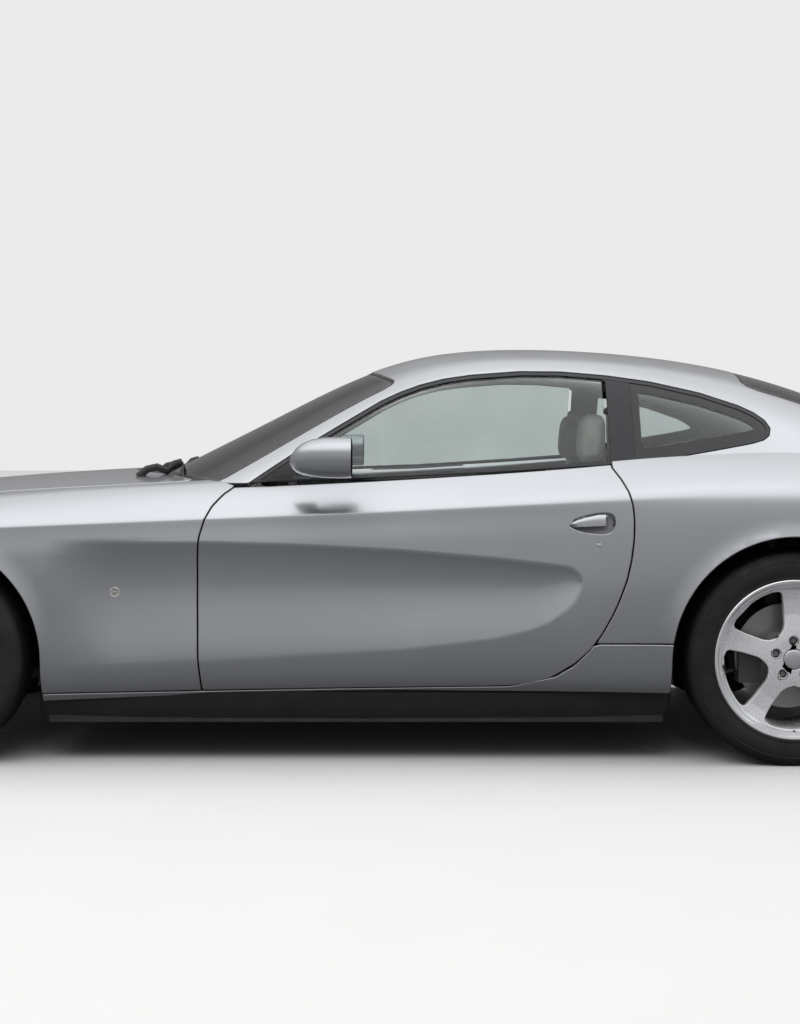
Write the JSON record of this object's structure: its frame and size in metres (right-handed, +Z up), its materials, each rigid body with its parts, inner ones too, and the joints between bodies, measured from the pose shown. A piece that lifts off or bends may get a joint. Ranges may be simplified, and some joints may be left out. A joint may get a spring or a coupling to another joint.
{
  "type": "two-door coupe car",
  "caption": "Two-door grand touring coupe with opening doors, hood and boot lid, turning wheels and steered front axle",
  "frame": {"origin": "on the ground below the middle of the car's box", "axes": "+X forwards, +Y to the car's left, +Z up"},
  "size_m": [4.8395, 2.182, 1.4137],
  "materials": {
    "silver_paint": "satin metallic",
    "black_steel": "matt",
    "black_plastic": "matt",
    "glass": "tinted",
    "lamp_glass": "clear",
    "lamp_red": "gloss",
    "tyre": "matt",
    "alloy": "satin",
    "iron": "machined",
    "steel": "satin",
    "leather": "soft",
    "trim": "soft"
  },
  "bodies": {
    "body": {"floor_pan": "black_steel", "arch_liners": "black_plastic", "sills": "silver_paint", "left_front_fender": "silver_paint", "right_front_fender": "silver_paint", "left_rear_quarter": "silver_paint", "right_rear_quarter": "silver_paint", "roof_panel": "silver_paint", "cowl_panel": "black_plastic", "front_bumper": "silver_paint", "rear_bumper": "silver_paint", "grille": "black_plastic", "windscreen": "glass", "rear_window": "glass", "quarter_windows": "glass", "headlamps": "lamp_glass", "tail_lamps": "lamp_red", "dashboard": "trim", "left_seat": "leather", "right_seat": "leather", "rear_seat": "leather", "engine": "iron", "exhaust": "steel", "front_subframe": "black_steel", "rear_subframe": "black_steel"},
    "steering_wheel": {"steering_wheel": "trim"},
    "left_knuckle": {"left_knuckle": "iron"},
    "right_knuckle": {"right_knuckle": "iron"},
    "left_front_wheel": {"left_front_wheel": "alloy", "left_front_tyre": "tyre", "left_front_disc": "iron"},
    "right_front_wheel": {"right_front_wheel": "alloy", "right_front_tyre": "tyre", "right_front_disc": "iron"},
    "left_rear_wheel": {"left_rear_wheel": "alloy", "left_rear_tyre": "tyre", "left_rear_disc": "iron"},
    "right_rear_wheel": {"right_rear_wheel": "alloy", "right_rear_tyre": "tyre", "right_rear_disc": "iron"},
    "left_door": {"left_door": "silver_paint", "left_door_hinges": "steel", "left_door_glass": "glass", "left_mirror": "silver_paint"},
    "right_door": {"right_door": "silver_paint", "right_door_hinges": "steel", "right_door_glass": "glass", "right_mirror": "silver_paint"},
    "hood": {"hood": "silver_paint"},
    "boot_lid": {"boot_lid": "silver_paint"}
  },
  "joints": [
    {"name": "left_steer", "type": "hinge", "parent": "body", "child": "left_knuckle", "pos_m": [1.475, 0.728, 0.35], "axis": [0, 0, 1], "range_deg": [-33, 33]},
    {"name": "right_steer", "type": "hinge", "parent": "body", "child": "right_knuckle", "pos_m": [1.475, -0.728, 0.35], "axis": [0, 0, 1], "range_deg": [-33, 33]},
    {"name": "left_front_spin", "type": "hinge", "parent": "left_knuckle", "child": "left_front_wheel", "pos_m": [1.475, 0.8, 0.35], "axis": [0, 1, 0], "continuous": true},
    {"name": "right_front_spin", "type": "hinge", "parent": "right_knuckle", "child": "right_front_wheel", "pos_m": [1.475, -0.8, 0.35], "axis": [0, 1, 0], "continuous": true},
    {"name": "left_rear_spin", "type": "hinge", "parent": "body", "child": "left_rear_wheel", "pos_m": [-1.425, 0.8, 0.353], "axis": [0, 1, 0], "continuous": true},
    {"name": "right_rear_spin", "type": "hinge", "parent": "body", "child": "right_rear_wheel", "pos_m": [-1.425, -0.8, 0.353], "axis": [0, 1, 0], "continuous": true},
    {"name": "steering_wheel_turn", "type": "hinge", "parent": "body", "child": "steering_wheel", "pos_m": [0.47, 0.375, 0.712], "axis": [-0.9272, 0, 0.3746], "range_deg": [-462, 462]},
    {"name": "left_door_swing", "type": "hinge", "parent": "body", "child": "left_door", "pos_m": [0.488, 0.84676, 0.525], "axis": [0, 0, -1], "range_deg": [0, 65]},
    {"name": "right_door_swing", "type": "hinge", "parent": "body", "child": "right_door", "pos_m": [0.488, -0.84676, 0.525], "axis": [0, 0, 1], "range_deg": [0, 65]},
    {"name": "hood_lift", "type": "hinge", "parent": "body", "child": "hood", "pos_m": [2.19, 0, 0.767], "axis": [0, 1, 0], "range_deg": [0, 50]},
    {"name": "boot_lift", "type": "hinge", "parent": "body", "child": "boot_lid", "pos_m": [-2.033, 0, 0.982], "axis": [0, 1, 0], "range_deg": [0, 70]}
  ],
  "couplings": [
    {"joint": "right_steer", "follows": "left_steer", "ratio": 1},
    {"joint": "steering_wheel_turn", "follows": "left_steer", "ratio": 14}
  ]
}
